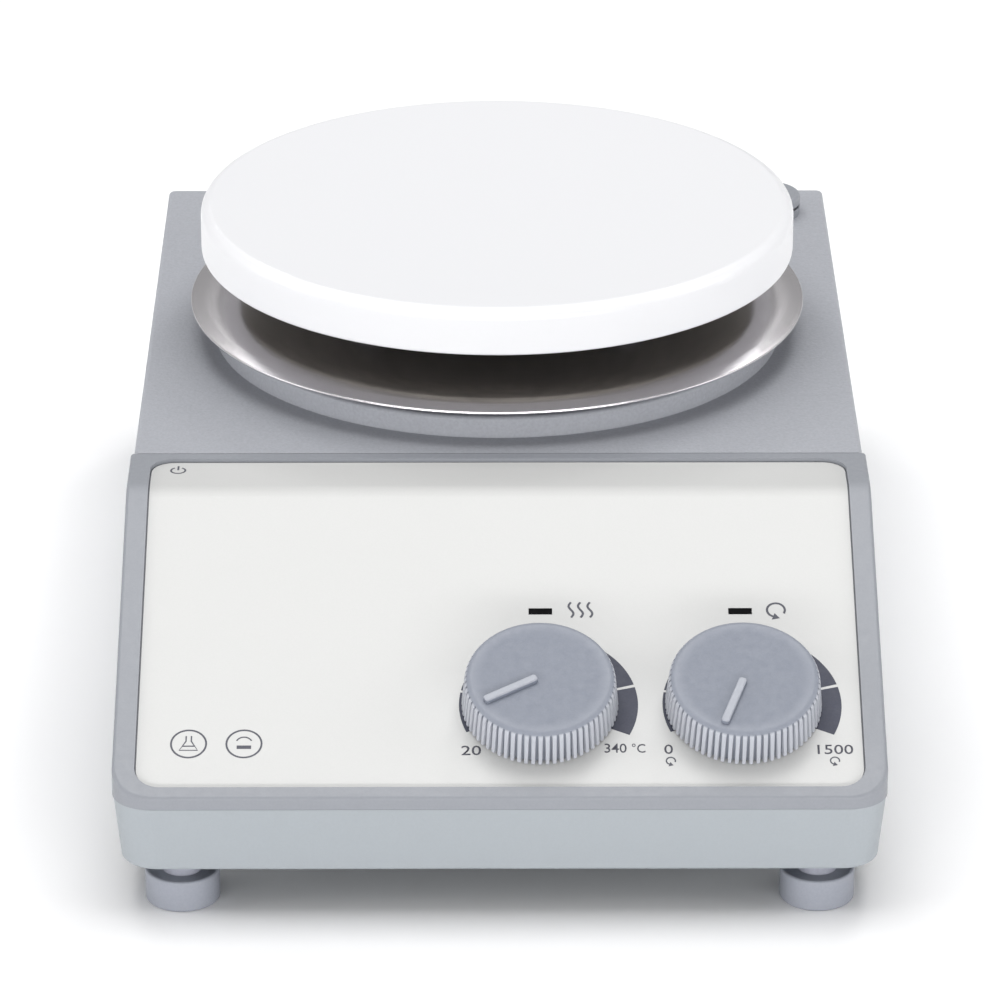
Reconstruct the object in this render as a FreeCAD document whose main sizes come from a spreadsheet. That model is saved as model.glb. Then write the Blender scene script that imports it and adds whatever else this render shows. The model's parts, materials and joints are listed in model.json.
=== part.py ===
import FreeCAD, Part
import Sketcher
import math
import os
from FreeCAD import Vector, Placement, Rotation

# Heating magnetic stirrer: a painted two-part housing with a sloped control
# panel, a round ceramic-coated plate over a stainless dish, two dials, and the
# stirring drive, boards and mains entry inside.
# Frame: millimetres, +X right, +Y to the rear, +Z up, origin under the middle
# of the overall box at the level of the feet.

doc = FreeCAD.newDocument("magnetic_stirrer")

SLOPE = 24.33
SIN = round(math.sin(math.radians(SLOPE)), 6)
COS = round(math.cos(math.radians(SLOPE)), 6)

DIMS = {
    # overall shell
    "slope_deg": SLOPE, "slope_sin": SIN, "slope_cos": COS,
    "top_z": 62.8, "split_z": 24.5, "split_gap": 0.2, "base_z": 9.7,
    "step_y": -35.0, "bend_y": -52.9, "slope_len": 86.04,
    "rear_y": 126.3, "house_hw": 79.6, "bezel_hw": 80.3, "tray_hw": 80.1,
    "wall": 3.0, "skin": 3.5, "front_corner_r": 8.0, "rear_corner_r": 1.6,
    "edge_r": 0.8, "top_edge_r": 1.0, "bend_r": 10.0, "base_edge_r": 0.9,
    "tray_floor": 2.2, "tray_draft": 5.3, "tongue_hw": 76.2, "tongue_rise": 0.8,
    # panel film
    "film_hw": 75.3, "film_drop": 0.8, "film_thk": 0.5, "film_gap": 0.3,
    "film_rear": 3.3, "film_front": 3.2, "film_corner_r": 5.0,
    "carrier_thk": 2.0,
    # dials
    "heat_x": 8.4, "stir_x": 50.9, "knob_d": 60.5, "knob_face_r": 15.67,
    "knob_base_r": 16.38, "knob_tall": 8.5, "knob_rim_r": 1.6,
    "flute_count": 68, "flute_root_r": 15.3, "flute_wide": 0.78,
    "pointer_near": 0.8, "pointer_far": 13.3, "pointer_wide": 1.8,
    "pointer_rise": 1.0, "heat_deg": 209.0, "stir_deg": 250.0,
    "shaft_r": 3.0, "shaft_clear": 0.05, "bushing_r": 3.5, "pot_r": 8.0,
    "pot_deep": 9.0, "nut_r": 5.6, "nut_thk": 2.2,
    "window_x": 4.9, "window_s": 1.65, "window_d": 34.9,
    "heat_win_x": 8.7, "stir_win_x": 51.0,
    # plate, dish, boss
    "plate_y": 38.0, "plate_r": 67.5, "plate_low": 83.4, "plate_top": 94.1,
    "plate_edge_r": 2.5, "plate_foot_r": 0.8, "plate_recess_r": 60.0,
    "plate_recess": 4.0,
    "dish_rim_r": 70.1, "dish_rim_z": 71.1,
    "dish_turn_r": 63.5, "dish_flat_z": 73.4, "dish_thk": 0.6, "dish_hole_r": 27.5,
    "boss_r": 64.7, "boss_in_r": 48.0, "boss_top": 67.6, "boss_land_r": 57.5,
    "post_ring_r": 34.0, "post_r": 4.0,
    # drive
    "motor_r": 26.0, "motor_low": 20.0, "motor_top": 44.0, "rotor_r": 3.0,
    "rotor_low": 19.2, "rotor_top": 66.0, "bearing_r": 8.0, "bearing_thk": 5.0,
    "carrier_r": 26.0, "carrier_low": 63.0, "magnet_r": 6.0, "magnet_x": 17.0,
    # feet
    "foot_x": 66.2, "foot_front": -122.1, "foot_rear": 112.0, "foot_r": 7.8,
    "foot_in_r": 7.1, "foot_top": 6.9, "foot_cup": 0.3, "collar_r": 4.1,
    # rod socket
    "rod_x": 65.0, "rod_y": 111.0, "rod_cap_r": 8.3, "rod_bore_r": 4.25,
    "rod_neck_r": 6.2, "rod_shank_r": 5.2,
    # mains entry
    "inlet_x": -35.0, "inlet_z": 41.0, "switch_x": 5.0, "rocker_deg": 8.0,
    "rocker_pin_r": 1.0,
}

sheet = doc.addObject("Spreadsheet::Sheet", "dims")
for row, (alias, value) in enumerate(DIMS.items(), start=1):
    sheet.set("A%d" % row, alias)
    sheet.set("B%d" % row, repr(value))
    sheet.setAlias("B%d" % row, alias)
doc.recompute()


class Val:
    """A number together with the sheet expression that gives it."""

    def __init__(self, n, e):
        self.n = float(n)
        self.e = e

    def __add__(self, o):
        o = val(o)
        return Val(self.n + o.n, "(%s + %s)" % (self.e, o.e))

    def __sub__(self, o):
        o = val(o)
        return Val(self.n - o.n, "(%s - %s)" % (self.e, o.e))

    def __mul__(self, o):
        o = val(o)
        return Val(self.n * o.n, "(%s * %s)" % (self.e, o.e))

    def __truediv__(self, o):
        o = val(o)
        return Val(self.n / o.n, "(%s / %s)" % (self.e, o.e))

    def __neg__(self):
        return Val(-self.n, "(0 - %s)" % self.e)


def val(x):
    return x if isinstance(x, Val) else Val(x, "%.6f" % x)


def D(alias):
    return Val(DIMS[alias], "dims." + alias)


NODES = {}


def keep(obj, node):
    obj.Label = node
    NODES[node] = obj
    return obj


def bind(obj, prop, v):
    obj.setExpression(prop, val(v).e)


def place(obj, at=(0, 0, 0), rot=None, turn=None):
    """rot: (axis, degrees) about the base point; turn: degrees about own z first."""
    r = Rotation()
    if rot:
        r = Rotation(rot[0], val(rot[1]).n)
    if turn is not None:
        r = r.multiply(Rotation(Vector(0, 0, 1), val(turn).n))
    obj.Placement = Placement(Vector(*[val(c).n for c in at]), r)
    for c, k in zip(at, "xyz"):
        obj.setExpression("Placement.Base." + k, val(c).e)
    if rot and turn is None:
        obj.setExpression("Placement.Rotation.Angle", val(rot[1]).e)
    return obj


def cyl(name, r, tall, at=(0, 0, 0), rot=None):
    o = doc.addObject("Part::Cylinder", name)
    o.Radius, o.Height = val(r).n, val(tall).n
    bind(o, "Radius", r)
    bind(o, "Height", tall)
    return place(o, at, rot)


def cone(name, r1, r2, tall, at=(0, 0, 0), rot=None):
    o = doc.addObject("Part::Cone", name)
    bind(o, "Radius1", r1)
    bind(o, "Radius2", r2)
    bind(o, "Height", tall)
    return place(o, at, rot)


def box(name, lx, ly, lz, at=(0, 0, 0), rot=None):
    o = doc.addObject("Part::Box", name)
    o.Length, o.Width, o.Height = val(lx).n, val(ly).n, val(lz).n
    bind(o, "Length", lx)
    bind(o, "Width", ly)
    bind(o, "Height", lz)
    return place(o, at, rot)


def cbox(name, lx, ly, lz, cx, cy, z):
    """A box centred on cx, cy whose underside is at z."""
    return box(name, lx, ly, lz,
               (val(cx) - val(lx) / 2, val(cy) - val(ly) / 2, z))


def cut(name, base, tool):
    o = doc.addObject("Part::Cut", name)
    o.Base, o.Tool = base, tool
    return o


def fuse(name, objs):
    o = doc.addObject("Part::MultiFuse", name)
    o.Shapes = objs
    return o


def group(name, objs):
    o = doc.addObject("Part::Compound", name)
    o.Links = objs
    return o


def new_body(name):
    return doc.addObject("PartDesign::Body", name)


def origin(body, role):
    for f in body.Origin.OriginFeatures:
        if f.Role == role:
            return f
    raise ValueError(role)


def sketch(body, role, name, pts, lift=None, holes=()):
    """A closed outline (and closed holes) whose corners are all driven."""
    s = body.newObject("Sketcher::SketchObject", name)
    s.AttachmentSupport = [(origin(body, role), "")]
    s.MapMode = "FlatFace"
    if lift is not None:
        s.AttachmentOffset = Placement(Vector(0, 0, val(lift).n), Rotation())
        s.setExpression("AttachmentOffset.Base.z", val(lift).e)
    for loop in (pts,) + tuple(holes):
        first = s.GeometryCount
        n = len(loop)
        xy = [(val(a), val(b)) for a, b in loop]
        for i in range(n):
            a, b = xy[i], xy[(i + 1) % n]
            s.addGeometry(Part.LineSegment(Vector(a[0].n, a[1].n, 0),
                                           Vector(b[0].n, b[1].n, 0)), False)
        for i in range(n):
            s.addConstraint(Sketcher.Constraint("Coincident", first + i, 2,
                                                first + (i + 1) % n, 1))
        for i in range(n):
            for kind, v, axis in (("DistanceX", xy[i][0], -2),
                                  ("DistanceY", xy[i][1], -1)):
                if abs(v.n) < 1e-9:
                    s.addConstraint(Sketcher.Constraint(
                        "PointOnObject", first + i, 1, axis))
                    continue
                c = s.addConstraint(Sketcher.Constraint(
                    kind, -1, 1, first + i, 1, v.n))
                s.setExpression("Constraints[%d]" % c, v.e)
    return s


def pad(body, name, profile, length, mid=False, back=False, taper=None):
    f = body.newObject("PartDesign::Pad", name)
    f.Profile = profile
    f.Length = val(length).n
    bind(f, "Length", length)
    if mid:
        f.SideType = "Symmetric"
    f.Reversed = back
    if taper is not None:
        f.TaperAngle = val(taper).n
        bind(f, "TaperAngle", taper)
    body.Tip = f
    doc.recompute()
    return f


def pocket(body, name, profile, length, mid=False, back=False):
    before = body.Shape.Volume
    f = body.newObject("PartDesign::Pocket", name)
    f.Profile = profile
    f.Length = val(length).n
    bind(f, "Length", length)
    if mid:
        f.SideType = "Symmetric"
    f.Reversed = back
    body.Tip = f
    doc.recompute()
    if not body.Shape.Volume < before - 0.01:
        raise RuntimeError("pocket %s cut nothing" % name)
    return f


def revolve(body, name, profile):
    f = body.newObject("PartDesign::Revolution", name)
    f.Profile = profile
    f.ReferenceAxis = (profile, ["V_Axis"])
    f.Angle = 360.0
    body.Tip = f
    doc.recompute()
    return f


def edges_of(shape, test):
    names = []
    for i, e in enumerate(shape.Edges, start=1):
        if test(e):
            names.append("Edge%d" % i)
    return names


def ends(e):
    return [v.Point for v in e.Vertexes]


def fillet(body, name, radius, test, need=None):
    base = body.Tip
    names = edges_of(base.Shape, test)
    if not names or (need and len(names) != need):
        raise RuntimeError("%s: %d edges" % (name, len(names)))
    f = body.newObject("PartDesign::Fillet", name)
    f.Base = (base, names)
    f.Radius = val(radius).n
    bind(f, "Radius", radius)
    body.Tip = f
    doc.recompute()
    if not f.Shape.isValid() or "Invalid" in f.State:
        raise RuntimeError("fillet %s failed" % name)
    return f


def rect(x0, y0, x1, y1):
    return [(x0, y0), (x1, y0), (x1, y1), (x0, y1)]


c, s_ = D("slope_cos"), D("slope_sin")


def on_slope(dist, rise):
    """(y, z) at a distance down the slope and a height above its face."""
    y = D("bend_y") - val(dist) * c - val(rise) * s_
    z = D("top_z") - val(dist) * s_ + val(rise) * c
    return y, z


def bend_at(drop):
    """(y, z) of the bend of a layer that lies at a depth under the face."""
    k = (val(1.0) - c) / s_
    return D("bend_y") + val(drop) * k, D("top_z") - val(drop)


lip_y, lip_z = on_slope(D("slope_len"), 0)
UP = D("split_z") + D("split_gap") / 2
LOW = D("split_z") - D("split_gap") / 2

# ---------------------------------------------------------------- base tray
b = new_body("base_tray_body")
front = lip_y + 0.3
s0 = sketch(b, "XY_Plane", "tray_plan",
            rect(-D("tray_hw"), front, D("tray_hw"), D("rear_y")), lift=LOW)
pad(b, "tray_pad", s0, LOW - D("base_z"), back=True, taper=-D("tray_draft"))


def slanted(e, ysign):
    p = ends(e)
    return (len(p) == 2 and abs(p[0].z - p[1].z) > 8 and
            abs(p[0].x) > 60 and p[0].y * ysign > 60)


if b.Shape.BoundBox.XLength > 2 * DIMS["tray_hw"] + 0.1:
    raise RuntimeError("tray draft runs outwards")
fillet(b, "tray_front_corners", D("front_corner_r"), lambda e: slanted(e, -1), 2)
fillet(b, "tray_rear_corners", D("rear_corner_r"), lambda e: slanted(e, 1), 2)
low = DIMS["base_z"]
fillet(b, "tray_bottom_edge", D("base_edge_r"),
       lambda e: all(abs(p.z - low) < 0.01 for p in ends(e)))
inner = D("tongue_hw") - 1.0
s1 = sketch(b, "XY_Plane", "tray_well",
            rect(-inner, front + 5.7, inner, D("rear_y") - 4.5), lift=LOW)
pocket(b, "tray_well_pocket", s1, LOW - D("base_z") - D("tray_floor"))
s2 = sketch(b, "XY_Plane", "tray_tongue",
            rect(-D("tongue_hw"), front + 4.7, D("tongue_hw"), D("rear_y") - 3.5),
            lift=LOW, holes=[rect(-inner, front + 5.7, inner, D("rear_y") - 4.5)])
pad(b, "tray_tongue_pad", s2, D("tongue_rise"))
feet_at = [(sx, y) for y in ("foot_front", "foot_rear") for sx in (-1, 1)]
tools = [cyl("tray_foot_hole_%d" % i, 2.05, 6, (D("foot_x") * sx, D(y), D("base_z") - 1))
         for i, (sx, y) in enumerate(feet_at)]
tray = cut("base_tray", b, fuse("tray_holes", tools))
keep(tray, "base_tray")

# ------------------------------------------------------------ upper housing
b = new_body("upper_housing_body")
s0 = sketch(b, "YZ_Plane", "housing_side",
            rect(D("step_y"), UP, D("rear_y"), D("top_z")))
pad(b, "housing_pad", s0, D("house_hw") * 2, mid=True)
fillet(b, "housing_rear_corners", D("rear_corner_r"),
       lambda e: slanted(e, 1) and abs(ends(e)[0].x - ends(e)[1].x) < 1e-6, 2)
ty = DIMS["top_z"]
fillet(b, "housing_top_edge", D("top_edge_r"),
       lambda e: all(abs(p.z - ty) < 0.01 for p in ends(e)) and
       not all(abs(p.y - DIMS["step_y"]) < 0.01 for p in ends(e)))
s1 = sketch(b, "YZ_Plane", "housing_inside",
            rect(D("step_y") - 2, UP - 2, D("rear_y") - D("wall"),
                 D("top_z") - D("wall")))
pocket(b, "housing_inside_pocket", s1, (D("house_hw") - D("wall")) * 2, mid=True)
tools = [cyl("top_hole", D("dish_hole_r"), 8, (0, D("plate_y"), D("top_z") - 5)),
         cyl("rod_hole", 7.0, 8, (D("rod_x"), D("rod_y"), D("top_z") - 5)),
         box("inlet_hole", 28.0, 8, 27.5,
             (D("inlet_x") - 14.0, D("rear_y") - 5, D("inlet_z") - 13.5)),
         box("switch_hole", 13.0, 8, 19.0,
             (D("switch_x") - 6.5, D("rear_y") - 5, D("inlet_z") - 9.5))]
POSTS = []
for i, deg in enumerate((90.0, 210.0, 330.0)):
    px = D("post_ring_r") * round(math.cos(math.radians(deg)), 6)
    py = D("plate_y") + D("post_ring_r") * round(math.sin(math.radians(deg)), 6)
    POSTS.append((px, py))
    tools.append(cyl("post_hole_%d" % i, 2.2, 8, (px, py, D("top_z") - 5)))
keep(cut("upper_housing", b, fuse("housing_holes", tools)), "upper_housing")

# ------------------------------------------------------------- front bezel
b = new_body("front_bezel_body")
s0 = sketch(b, "XY_Plane", "bezel_plan",
            rect(-D("bezel_hw"), lip_y, D("bezel_hw"), D("step_y") - 0.2),
            lift=UP)
pad(b, "bezel_pad", s0, D("top_z") - UP)
fillet(b, "bezel_front_corners", D("front_corner_r"), lambda e: slanted(e, -1), 2)
o1 = on_slope(D("slope_len") + 8, 0)
s1 = sketch(b, "YZ_Plane", "bezel_slope",
            [(D("bend_y"), D("top_z")), o1, (o1[0], D("top_z") + 5),
             (D("bend_y"), D("top_z") + 5)])
pocket(b, "bezel_slope_pocket", s1, D("bezel_hw") * 2 + 4, mid=True)
by = DIMS["bend_y"]
fillet(b, "bezel_bend", D("bend_r"),
       lambda e: all(abs(p.y - by) < 0.01 and abs(p.z - ty) < 0.01 for p in ends(e)), 1)


def face_edge(e):
    """Outer edges of the top and of the slope, round the front."""
    m = e.valueAt(0.5 * (e.FirstParameter + e.LastParameter))
    p = ends(e)
    if any(q.z < UP.n + 1.0 for q in p) or abs(m.y - (DIMS["step_y"] - 0.2)) < 0.05:
        return False
    on_side = abs(abs(m.x) - DIMS["bezel_hw"]) < 0.02
    on_front = m.z < lip_z.n + 6 and m.y < lip_y.n + 9
    flat = abs(p[0].z - p[1].z) < 1e-6 and abs(p[0].y - p[1].y) < 1e-6
    if flat and m.y > lip_y.n + 0.05:
        return False
    return on_side or on_front


fillet(b, "bezel_edge", D("edge_r"), face_edge)
i1, i2 = bend_at(D("skin")), on_slope(D("slope_len") - 3.0, -D("skin"))
i3 = on_slope(D("slope_len") - 3.0, -D("skin"))
s2 = sketch(b, "YZ_Plane", "bezel_inside",
            [(D("step_y") + 2, UP - 2), (D("step_y") + 2, D("top_z") - D("skin")),
             i1, i2, (i3[0], UP - 2)])
pocket(b, "bezel_inside_pocket", s2, (D("bezel_hw") - D("wall")) * 2, mid=True)


def film_like(name, hw, rear, front_gap, deep, rise, bend_r_low, corner):
    """A slab that follows the top and the slope: deep and rise are its two
    faces measured from the bezel's own face."""
    fb = new_body(name)
    e1, e2 = bend_at(-val(rise)), bend_at(val(deep))
    far1 = on_slope(D("slope_len") - front_gap, rise)
    far2 = on_slope(D("slope_len") - front_gap, -val(deep))
    y0 = D("step_y") - rear
    sk = sketch(fb, "YZ_Plane", name + "_side",
                [(y0, D("top_z") + val(rise)), e1, far1, far2, e2,
                 (y0, D("top_z") - val(deep))])
    pad(fb, name + "_pad", sk, val(hw) * 2, mid=True)
    y1, y2 = e1[0].n, e2[0].n
    z1, z2 = e1[1].n, e2[1].n
    fillet(fb, name + "_bend_top", D("bend_r") + val(rise),
           lambda e: all(abs(p.y - y1) < 0.01 and abs(p.z - z1) < 0.01
                         for p in ends(e)), 1)
    fillet(fb, name + "_bend_low", bend_r_low,
           lambda e: all(abs(p.y - y2) < 0.01 and abs(p.z - z2) < 0.01
                         for p in ends(e)), 1)
    w = val(hw).n

    def corner_edge(e):
        p = ends(e)
        if len(p) != 2 or any(abs(abs(q.x) - w) > 0.01 for q in p):
            return False
        if abs(p[0].x - p[1].x) > 0.01:
            return False
        rear_one = all(abs(q.y - y0.n) < 0.01 for q in p)
        d = (p[1] - p[0])
        normal = Vector(0, -SIN, COS)
        front_one = (d.Length > 1e-6 and
                     abs(abs(d.normalize().dot(normal)) - 1) < 1e-4)
        return rear_one or front_one

    fillet(fb, name + "_corners", corner, corner_edge, 4)
    return fb


film_deep = D("film_drop") + D("film_thk")
film = film_like("film_body", D("film_hw"), D("film_rear"), D("film_front"),
                 film_deep, -D("film_drop"), D("bend_r") - film_deep,
                 D("film_corner_r"))
recess = film_like("recess_tool", D("film_hw") + D("film_gap"),
                   D("film_rear") - D("film_gap"), D("film_front") - D("film_gap"),
                   film_deep + 0.02, val(3.0), D("bend_r") - film_deep - 0.02,
                   D("film_corner_r") + D("film_gap"))

TILT = (Vector(1, 0, 0), D("slope_deg"))


def sloped(x, dist, rise):
    y, z = on_slope(dist, rise)
    return (x, y, z)


DIALS = (("heat", D("heat_x")), ("stir", D("stir_x")))
WINDOWS = (("heat", D("heat_win_x")), ("stir", D("stir_win_x")))


def window_tool(name, x, grow, rise, deep):
    """A small slab on the slope, centred on the window's place."""
    lx, ls = D("window_x") + grow, D("window_s") + grow
    return box(name, lx, ls, deep,
               sloped(x - lx / 2, D("window_d") + ls / 2, val(rise) - val(deep)), TILT)


tools = [recess]
for nm, x in DIALS:
    tools.append(cyl(nm + "_bezel_hole", D("bushing_r") + 0.2, 12,
                     sloped(x, D("knob_d"), -8), TILT))
for nm, x in WINDOWS:
    tools.append(window_tool(nm + "_bezel_slot", x, -0.6, 1, 8))
keep(cut("front_bezel", b, fuse("bezel_tools", tools)), "front_bezel")

tools = []
for nm, x in DIALS:
    tools.append(cyl(nm + "_film_hole", 7.0, 6, sloped(x, D("knob_d"), -4), TILT))
for nm, x in WINDOWS:
    tools.append(window_tool(nm + "_film_slot", x, 0.1, 1, 4))
keep(cut("panel_film", film, fuse("film_tools", tools)), "panel_film")
for nm, x in WINDOWS:
    keep(window_tool(nm + "_led_window_slab", x, 0.0, -D("film_drop") + 0.05, 0.5),
         nm + "_led_window")

# ---------------------------------------------------------- panel carrier
carrier_len = val(62.0)
plate0 = box("carrier_plate", 130.0, carrier_len, D("carrier_thk"),
             sloped(val(-65.0), val(80.0), -D("skin") - D("carrier_thk")), TILT)
tools = []
for nm, x in DIALS:
    tools.append(cyl(nm + "_carrier_hole", D("bushing_r") + 0.2, 8,
                     sloped(x, D("knob_d"), -9), TILT))
keep(cut("panel_carrier", plate0, fuse("carrier_tools", tools)), "panel_carrier")

# ------------------------------------------------------------------ dials
pot_top = -D("skin") - D("carrier_thk")
nuts = []
for nm, x in DIALS:
    can = cyl(nm + "_pot_can", D("pot_r"), D("pot_deep"),
              sloped(x, D("knob_d"), pot_top - D("pot_deep")), TILT)
    bush = cyl(nm + "_pot_bushing", D("bushing_r"), 7.6 + 1.0,
               sloped(x, D("knob_d"), pot_top - 1.0), TILT)
    can2 = fuse(nm + "_pot_solid", [can, bush])
    bore = cyl(nm + "_pot_bore", D("shaft_r") + D("shaft_clear"), 20,
               sloped(x, D("knob_d"), pot_top - D("pot_deep") + 1.0), TILT)
    keep(cut(nm + "_pot_body_cut", can2, bore), nm + "_pot_body")
    keep(cyl(nm + "_pot_shaft_rod", D("shaft_r"), 13.0,
             sloped(x, D("knob_d"), pot_top - 7.0), TILT), nm + "_pot_shaft")
    hexa = doc.addObject("Part::Prism", nm + "_nut_hex")
    hexa.Polygon = 6
    bind(hexa, "Circumradius", D("nut_r"))
    bind(hexa, "Height", D("nut_thk"))
    place(hexa, sloped(x, D("knob_d"), -film_deep), TILT)
    hole = cyl(nm + "_nut_hole", D("bushing_r") + 0.02, 6,
               sloped(x, D("knob_d"), -3), TILT)
    nuts.append(cut(nm + "_nut", hexa, hole))
keep(group("pot_nuts_group", nuts), "pot_nuts")

for nm, x in DIALS:
    b = new_body(nm + "_knob_body")
    tall, rim = D("knob_tall"), D("knob_rim_r")
    prof = [(D("shaft_r"), 3.2), (val(5.0), 3.2), (val(5.0), tall - 2.2),
            (val(13.0), tall - 2.2), (val(13.6), 0.0), (D("knob_base_r"), 0.0),
            (D("knob_face_r"), tall), (0.0, tall), (0.0, tall - 1.6),
            (D("shaft_r"), tall - 1.6)]
    sk = sketch(b, "XZ_Plane", nm + "_knob_section", prof)
    revolve(b, nm + "_knob_turn", sk)
    ft = DIMS["knob_tall"]
    fillet(b, nm + "_knob_rim", rim,
           lambda e: len(e.Vertexes) == 1 and abs(e.Vertexes[0].Point.z - ft) < 0.01
           and e.Vertexes[0].Point.x > 10, 1)
    hw = D("flute_wide") / 2
    sk = sketch(b, "XY_Plane", nm + "_flute_section",
                [(D("flute_root_r"), -hw * 0.55), (D("knob_base_r") + 1, -hw * 1.5),
                 (D("knob_base_r") + 1, hw * 1.5), (D("flute_root_r"), hw * 0.55)])
    fl = pocket(b, nm + "_flute", sk, tall + 0.5, back=True)
    pat = b.newObject("PartDesign::PolarPattern", nm + "_flutes")
    pat.Originals = [fl]
    pat.Axis = (sk, ["N_Axis"])
    pat.Angle = 360.0
    pat.Occurrences = DIMS["flute_count"]
    pat.setExpression("Occurrences", "dims.flute_count")
    b.Tip = pat
    doc.recompute()
    sk = sketch(b, "XY_Plane", nm + "_pointer_plan",
                rect(D("pointer_near"), -D("pointer_wide") / 2, D("pointer_far"),
                     D("pointer_wide") / 2), lift=tall - 0.4)
    pad(b, nm + "_pointer", sk, D("pointer_rise") + 0.4)
    zt = DIMS["knob_tall"] + DIMS["pointer_rise"]
    fillet(b, nm + "_pointer_ends", val(0.6),
           lambda e: len(e.Vertexes) == 2 and
           abs(abs(ends(e)[0].z - ends(e)[1].z) - DIMS["pointer_rise"]) < 0.02 and
           max(p.z for p in ends(e)) > zt - 0.01, 4)
    fillet(b, nm + "_pointer_top", val(0.4),
           lambda e: all(abs(p.z - zt) < 0.01 for p in ends(e)))
    yk, zk = on_slope(D("knob_d"), -D("film_drop") + 0.3)
    place(b, (x, yk, zk), TILT, turn=D(nm + "_deg"))
    keep(b, nm + "_knob")

# ------------------------------------------------------ plate, dish, boss
AXIS = (0, D("plate_y"), 0)
b = new_body("top_plate_body")
sk = sketch(b, "XZ_Plane", "plate_section",
            [(0.0, D("plate_low") + D("plate_recess")),
             (D("plate_recess_r"), D("plate_low") + D("plate_recess")),
             (D("plate_recess_r"), D("plate_low")), (D("plate_r"), D("plate_low")),
             (D("plate_r"), D("plate_top")), (0.0, D("plate_top"))])
revolve(b, "plate_turn", sk)


def ring_edge(r, z):
    return lambda e: (len(e.Vertexes) == 1 and hasattr(e.Curve, "Radius") and
                      abs(e.Curve.Radius - r) < 0.01 and
                      abs(e.Vertexes[0].Point.z - z) < 0.01)


fillet(b, "plate_edge", D("plate_edge_r"),
       ring_edge(DIMS["plate_r"], DIMS["plate_top"]), 1)
fillet(b, "plate_low_edge", D("plate_foot_r"),
       ring_edge(DIMS["plate_r"], DIMS["plate_low"]), 1)
place(b, AXIS)
keep(b, "top_plate")

b = new_body("dish_body")
t_ = D("dish_thk")
sk = sketch(b, "XZ_Plane", "dish_section",
            [(D("dish_hole_r"), D("dish_flat_z") - t_),
             (D("dish_turn_r"), D("dish_flat_z") - t_),
             (D("dish_rim_r"), D("dish_rim_z") - t_),
             (D("dish_rim_r"), D("dish_rim_z")),
             (D("dish_turn_r"), D("dish_flat_z")),
             (D("dish_hole_r"), D("dish_flat_z"))])
revolve(b, "dish_turn", sk)
fillet(b, "dish_soft_top", val(24.0), ring_edge(DIMS["dish_turn_r"], DIMS["dish_flat_z"]), 1)
fillet(b, "dish_soft_low", val(23.4),
       ring_edge(DIMS["dish_turn_r"], DIMS["dish_flat_z"] - DIMS["dish_thk"]), 1)
fillet(b, "dish_lip", val(0.25),
       lambda e: (len(e.Vertexes) == 1 and hasattr(e.Curve, "Radius") and
                  abs(e.Curve.Radius - DIMS["dish_rim_r"]) < 0.01), 2)
place(b, AXIS)
tools = [cyl("dish_post_%d" % i, D("post_r") + 0.2, 6, (px, py, D("dish_flat_z") - 3))
         for i, (px, py) in enumerate(POSTS)]
keep(cut("heat_shield_dish", b, fuse("dish_tools", tools)), "heat_shield_dish")

b = new_body("boss_body")
land_z = D("dish_flat_z") - t_
sk = sketch(b, "XZ_Plane", "boss_section",
            [(D("boss_in_r"), D("top_z")), (D("boss_r"), D("top_z")),
             (D("boss_r"), D("boss_top")), (D("boss_land_r"), D("boss_top") + 0.6),
             (D("boss_land_r") - 1.2, land_z), (D("boss_in_r"), land_z)])
revolve(b, "boss_turn", sk)
fillet(b, "boss_edge", val(0.9), ring_edge(DIMS["boss_r"], DIMS["boss_top"]), 1)
place(b, AXIS)
keep(b, "housing_boss")

ring_low = D("plate_low") + D("plate_recess")
outer = cyl("element_disc", 56.0, 2.6, (0, D("plate_y"), ring_low - 2.6))
hole = cyl("element_hole", 39.0, 6, (0, D("plate_y"), ring_low - 4))
keep(cut("element_ring", outer, hole), "heating_element")
disc = cyl("insulation_blank", D("plate_recess_r") - 0.4, 4.4,
           (0, D("plate_y"), ring_low - 2.6 - 4.4))
tools = [cyl("insulation_post_%d" % i, D("post_r") + 0.2, 9,
             (px, py, ring_low - 10)) for i, (px, py) in enumerate(POSTS)]
tools.append(cyl("insulation_centre", 3.0, 9, (0, D("plate_y"), ring_low - 10)))
keep(cut("insulation_cut", disc, fuse("insulation_tools", tools)), "insulation_disc")
keep(cyl("sensor_rod", 2.4, 8.0, (0, D("plate_y"), ring_low - 8.0)),
     "temperature_sensor")
posts, screws = [], []
for i, (px, py) in enumerate(POSTS):
    p0 = cyl("post_%d" % i, D("post_r"), ring_low - D("top_z"), (px, py, D("top_z")))
    p1 = cyl("post_bore_%d" % i, 2.0, 12.0, (px, py, D("top_z") - 1))
    posts.append(cut("post_cut_%d" % i, p0, p1))
    h0 = cyl("plate_screw_head_%d" % i, 3.5, 2.6,
             (px, py, D("top_z") - D("wall") - 2.6))
    h1 = cyl("plate_screw_shank_%d" % i, 1.95, 12.0,
             (px, py, D("top_z") - D("wall") - 0.5))
    screws.append(fuse("plate_screw_%d" % i, [h0, h1]))
keep(group("plate_posts", posts), "plate_standoffs")
keep(group("plate_screw_set", screws), "plate_screws")

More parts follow.
